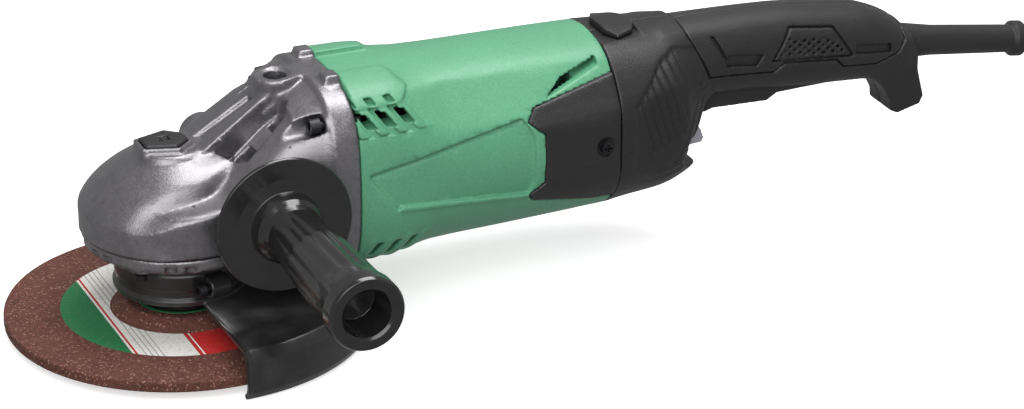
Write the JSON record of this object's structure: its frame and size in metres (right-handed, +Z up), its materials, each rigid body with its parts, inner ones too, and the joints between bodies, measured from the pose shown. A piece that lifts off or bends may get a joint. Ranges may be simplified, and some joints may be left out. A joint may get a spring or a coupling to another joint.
{
  "type": "angle grinder",
  "caption": "Large mains angle grinder with tail handle, side handle, wheel guard and depressed-centre grinding wheel; gears, motor, switch and spindle lock inside.",
  "frame": {"origin": "centre of the spindle's lower end face", "axes": "+Z up along the spindle towards the gear cover; +X along the motor axis towards the tail handle; -Y towards the side handle"},
  "size_m": [0.5757, 0.2737, 0.1319],
  "materials": {
    "castAluminium": "bare sand-cast aluminium, grainy satin",
    "steel": "machined steel",
    "blackSteel": "blackened steel",
    "guardPaint": "satin black paint on pressed sheet",
    "abrasive": "red-brown bonded abrasive with grit",
    "greenPlastic": "satin green moulded nylon",
    "blackPlastic": "fine-textured black moulded nylon",
    "glossBlack": "glossy black moulded nylon",
    "softBlack": "soft black overmould",
    "greyPlastic": "grey moulded nylon",
    "copper": "enamelled copper",
    "brass": "pressed brass",
    "carbon": "pressed carbon",
    "felt": "felt"
  },
  "bodies": {
    "housing": {"spindle_bearing": "steel", "needle_bearing": "steel", "dust_seal": "felt", "packing_gland": "castAluminium", "gear_cover": "castAluminium", "lock_spring": "steel", "front_bearing": "steel", "fan_guide": "blackPlastic", "stator_core": "blackSteel", "field_coil_upper": "copper", "field_coil_lower": "copper", "rear_bearing": "steel", "brush_holder_left": "brass", "brush_holder_right": "brass", "motor_housing": "greenPlastic", "side_cover_left": "blackPlastic", "side_cover_right": "blackPlastic", "side_cover_screw_left": "blackSteel", "side_cover_screw_right": "blackSteel", "handle_shell_left": "blackPlastic", "handle_shell_right": "blackPlastic", "soft_grip_left": "softBlack", "soft_grip_right": "softBlack", "top_pad": "softBlack", "switch_body": "blackPlastic", "cord_clamp": "blackPlastic", "cord_boot": "softBlack", "trigger_pin": "steel", "gland_screw_1": "blackSteel", "cover_screw_1": "blackSteel", "gland_screw_2": "blackSteel", "cover_screw_2": "blackSteel", "gland_screw_3": "blackSteel", "cover_screw_3": "blackSteel", "gland_screw_4": "blackSteel", "cover_screw_4": "blackSteel", "handle_screw_1": "blackSteel", "handle_screw_2": "blackSteel", "handle_screw_3": "blackSteel"},
    "spindle_group": {"spindle": "steel", "ring_gear": "steel", "inner_flange": "blackSteel", "wheel": "abrasive", "wheel_nut": "blackSteel"},
    "rotor": {"rotor_shaft": "steel", "pinion": "steel", "armature_core": "blackSteel", "armature_winding": "copper", "commutator": "copper", "fan": "blackPlastic"},
    "spindle_lock": {"lock_button": "blackPlastic", "lock_pin": "steel"},
    "wheel_guard": {"guard": "guardPaint", "guard_screw": "blackSteel"},
    "side_handle": {"side_handle_grip": "glossBlack", "side_handle_stud": "steel"},
    "switch_trigger": {"trigger": "blackPlastic"},
    "lock_off": {"lock_off_lever": "greyPlastic"},
    "brush_left": {"carbon_brush_left": "carbon"},
    "brush_right": {"carbon_brush_right": "carbon"}
  },
  "joints": [
    {"name": "rotor_spin", "type": "hinge", "parent": "housing", "child": "rotor", "pos_m": [0.16, 0, 0.0723], "axis": [1, 0, 0], "continuous": true},
    {"name": "spindle_spin", "type": "hinge", "parent": "housing", "child": "spindle_group", "pos_m": [0, 0, 0.05], "axis": [0, 0, 1], "continuous": true},
    {"name": "spindle_lock_press", "type": "slide", "parent": "housing", "child": "spindle_lock", "axis": [0, 0, -1], "range_m": [0, 0.005], "stiffness_N_per_m": 1200, "springref_m": -0.002, "deforming": ["lock_spring"]},
    {"name": "guard_turn", "type": "hinge", "parent": "housing", "child": "wheel_guard", "pos_m": [0, 0, 0.03], "axis": [0, 0, 1], "range_deg": [-90, 90]},
    {"name": "side_handle_unscrew", "type": "slide", "parent": "housing", "child": "side_handle", "axis": [0, -1, 0], "range_m": [0, 0.018]},
    {"name": "trigger_pull", "type": "hinge", "parent": "housing", "child": "switch_trigger", "pos_m": [0.368, 0, 0.079], "axis": [0, 1, 0], "range_deg": [0, 5], "stiffness_Nm_per_rad": 3, "springref_deg": -5.73},
    {"name": "lock_off_push", "type": "slide", "parent": "housing", "child": "lock_off", "axis": [-1, 0, 0], "range_m": [0, 0.004], "stiffness_N_per_m": 500, "springref_m": -0.002},
    {"name": "brush_left_travel", "type": "slide", "parent": "housing", "child": "brush_left", "axis": [0, -1, 0], "range_m": [0, 0.004], "stiffness_N_per_m": 400, "springref_m": -0.003},
    {"name": "brush_right_travel", "type": "slide", "parent": "housing", "child": "brush_right", "axis": [0, 1, 0], "range_m": [0, 0.004], "stiffness_N_per_m": 400, "springref_m": -0.003}
  ],
  "couplings": [
    {"joint": "spindle_spin", "follows": "rotor_spin", "ratio": -0.29268}
  ]
}
